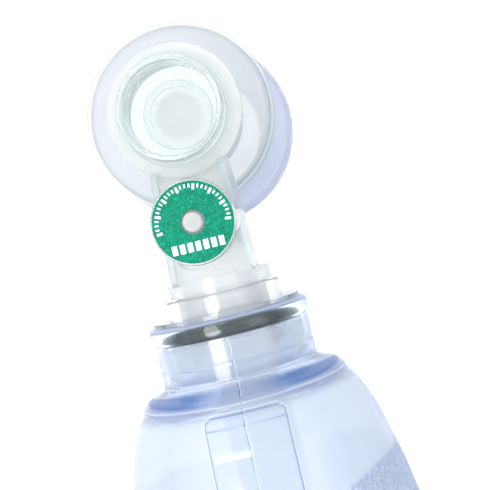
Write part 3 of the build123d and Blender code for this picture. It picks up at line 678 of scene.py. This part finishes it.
def tube_outline():
    """Filling tube with a soft bead at its mouth."""
    start, end = TUBE_S
    plain = TUBE_R - 0.05
    steps = [0.2 * i for i in range(13)]
    bead = [(end - 2.6 + step, plain + 0.16 * bell(step, 1.7, 0.6)) for step in steps]
    mouth = [(end - 0.06, TUBE_R - 0.18), (end, TUBE_R - 0.45)]
    mouth += [(end, TUBE_BORE + 0.2), (end - 0.15, TUBE_BORE)]
    return [(start, plain), (end - 3.0, plain)] + bead + mouth + [(start, TUBE_BORE)]


def make_seals_and_tube():
    def about_bag(x, y, z):
        return x, y, AXIS_Z + z

    front = seal_outline()
    rear = [(2 * BAG_MID - x, r) for x, r in front]
    for node, outline in (("neck_seal", front), ("tail_seal", rear)):
        turned_piece(node + "_ring", node, "bag", SEAL, outline, about_bag)
    c, s = math.cos(TUBE_TURN), math.sin(TUBE_TURN)
    turned_piece(
        "filling_tube", "inflation_tube", "mask", CUSHION, tube_outline(),
        lambda x, y, z: (x * c - y * s, x * s + y * c, TUBE_Z + z),
    )


# ---------------------------------------------------------------- label marks
TICKS, TICK_R, TICK_SWEEP = 29, 10.5, math.radians(97)
BARS, BAR_PITCH = 7, 2.2


def make_marks():
    """Printed scale on the label: a ring of ticks towards the valve and a row of bars towards the bag."""
    low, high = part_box("relief_label")
    cx, cy, z = (low.x + high.x) / 2 / MM, (low.y + high.y) / 2 / MM, high.z / MM + 0.02
    verts, faces = [], []

    def tile(corners):
        start = len(verts)
        verts.extend((cx + x, cy + y, z + dz) for dz in (0.0, 0.03) for x, y in corners)
        quad = [start + i for i in range(4)]
        top = [start + 4 + i for i in range(4)]
        faces.append(tuple(reversed(quad)))
        faces.append(tuple(top))
        for i in range(4):
            j = (i + 1) % 4
            faces.append((quad[i], quad[j], top[j], top[i]))

    for i in range(TICKS):
        a = math.pi + TICK_SWEEP * (2 * i / (TICKS - 1) - 1)
        inner, half = (8.9, 0.34) if i % 4 == 0 else (9.5, 0.22)
        rx, ry = math.cos(a), math.sin(a)
        corners = ((inner, -half), (TICK_R, -half), (TICK_R, half), (inner, half))
        tile([(rx * r - ry * w, ry * r + rx * w) for r, w in corners])
    for i in range(BARS):
        y = BAR_PITCH * (i - (BARS - 1) / 2)
        tile([(5.3, y - 0.72), (7.9, y - 0.72), (7.9, y + 0.72), (5.3, y + 0.72)])
    marks = mesh_object("label_marks", verts, faces, INK, shade=False)
    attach(marks, "valve")


# ---------------------------------------------------------------- stage, light, camera
FLOOR_DROP = 20.5  # mm; the mask's pull plus a little
FLOOR_R = 15000.0  # mm
CAMERA_AT = (42.4, 33.6, 276.6)  # mm from where the valve's and the bag's axes cross
CAMERA_LOOK, CAMERA_UP = (0.0, -0.0848, -0.9964), (-0.9719, 0.2345, -0.02)
# name, place, target in m, size in m, watts
LIGHTS = (
    ("key", (0.12, -0.26, 0.74), (0.06, 0, 0.02), (0.40, 0.25), 1.9),
    ("fill", (0.35, 0.55, 0.60), (0.08, 0, 0.02), (0.6, 0.4), 0.6),
    ("glint", (-0.26, -0.22, 0.72), (0.09, -0.22, 0.05), (0.40, 0.03), 1.3),
)


def make_stage():
    """Wide pale floor, low enough for the mask to come off; it shows from above only."""
    s = Shader("floor_paper")
    tone = s.mix_colour(s.ramp(s.noise(6.0), 0.0, 1.0), (0.93, 0.935, 0.94, 1), (0.95, 0.95, 0.955, 1))
    paper = s.principled(Base_Color=tone, Roughness=0.6, Normal=s.bump(s.noise(900.0), 0.02, 0.2))
    below = s.add("ShaderNodeNewGeometry").outputs["Backfacing"]
    material = s.surface(s.mix(below, paper, s.add("ShaderNodeBsdfTransparent").outputs[0]))
    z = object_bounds()[0][2] / MM - FLOOR_DROP
    rim = [(FLOOR_R * math.cos(a), FLOOR_R * math.sin(a), z) for a in turns(48)]
    floor = mesh_object("floor", rim, [tuple(range(len(rim)))], material, shade=False)


def area_light(name, place, target, size, power):
    light = bpy.data.lights.new(name, "AREA")
    light.shape = "RECTANGLE"
    light.size, light.size_y = size
    light.energy = power
    obj = bpy.data.objects.new(name, light)
    obj.location = place
    obj.rotation_euler = (Vector(target) - Vector(place)).to_track_quat("-Z", "Y").to_euler()
    bpy.context.scene.collection.objects.link(obj)


def make_world():
    """Bright soft dome, dimmer towards the horizon so that clear edges draw themselves."""
    world = bpy.data.worlds.new("studio")
    bpy.context.scene.world = world
    world.use_nodes = True
    tree = world.node_tree
    tree.nodes.clear()
    out = tree.nodes.new("ShaderNodeOutputWorld")
    back = tree.nodes.new("ShaderNodeBackground")
    coords = tree.nodes.new("ShaderNodeTexCoord")
    split = tree.nodes.new("ShaderNodeSeparateXYZ")
    ramp = tree.nodes.new("ShaderNodeValToRGB")
    ramp.color_ramp.elements[0].position = 0.0
    ramp.color_ramp.elements[0].color = (0.46, 0.48, 0.50, 1)
    ramp.color_ramp.elements[1].position = 0.75
    ramp.color_ramp.elements[1].color = (1, 1, 1, 1)
    middle = ramp.color_ramp.elements.new(0.30)
    middle.color = (0.74, 0.76, 0.78, 1)
    tree.links.new(coords.outputs["Generated"], split.inputs[0])
    tree.links.new(split.outputs["Z"], ramp.inputs[0])
    tree.links.new(ramp.outputs[0], back.inputs["Color"])
    back.inputs["Strength"].default_value = 1.05
    tree.links.new(back.outputs[0], out.inputs["Surface"])


def make_camera():
    """Looks down on the valve end from slightly right of it, rolled so that the bag runs down and right."""
    camera = bpy.data.cameras.new("camera")
    camera.sensor_width = 36.0
    camera.lens = 68.0
    camera.clip_start = 0.01
    obj = bpy.data.objects.new("camera", camera)
    back = -Vector(CAMERA_LOOK).normalized()
    up = Vector(CAMERA_UP)
    right = up.cross(back).normalized()
    up = back.cross(right)
    turn = Matrix((right, up, back)).transposed().to_4x4()
    place = Vector(CAMERA_AT) + Vector((0, 0, AXIS_Z))
    obj.matrix_world = Matrix.Translation(place * MM) @ turn
    bpy.context.scene.collection.objects.link(obj)
    bpy.context.scene.camera = obj


make_bag()
make_cushion()
make_seals_and_tube()
make_marks()
make_stage()
make_world()
for light in LIGHTS:
    area_light(*light)
make_camera()

scene = bpy.context.scene
scene.view_settings.view_transform = "Standard"
scene.view_settings.exposure = 0.42
scene.cycles.use_denoising = True
scene.cycles.max_bounces = 24
scene.cycles.transmission_bounces = 24
scene.cycles.transparent_max_bounces = 24
scene.cycles.glossy_bounces = 8
scene.cycles.diffuse_bounces = 4
scene.cycles.caustics_reflective = False
scene.cycles.caustics_refractive = False
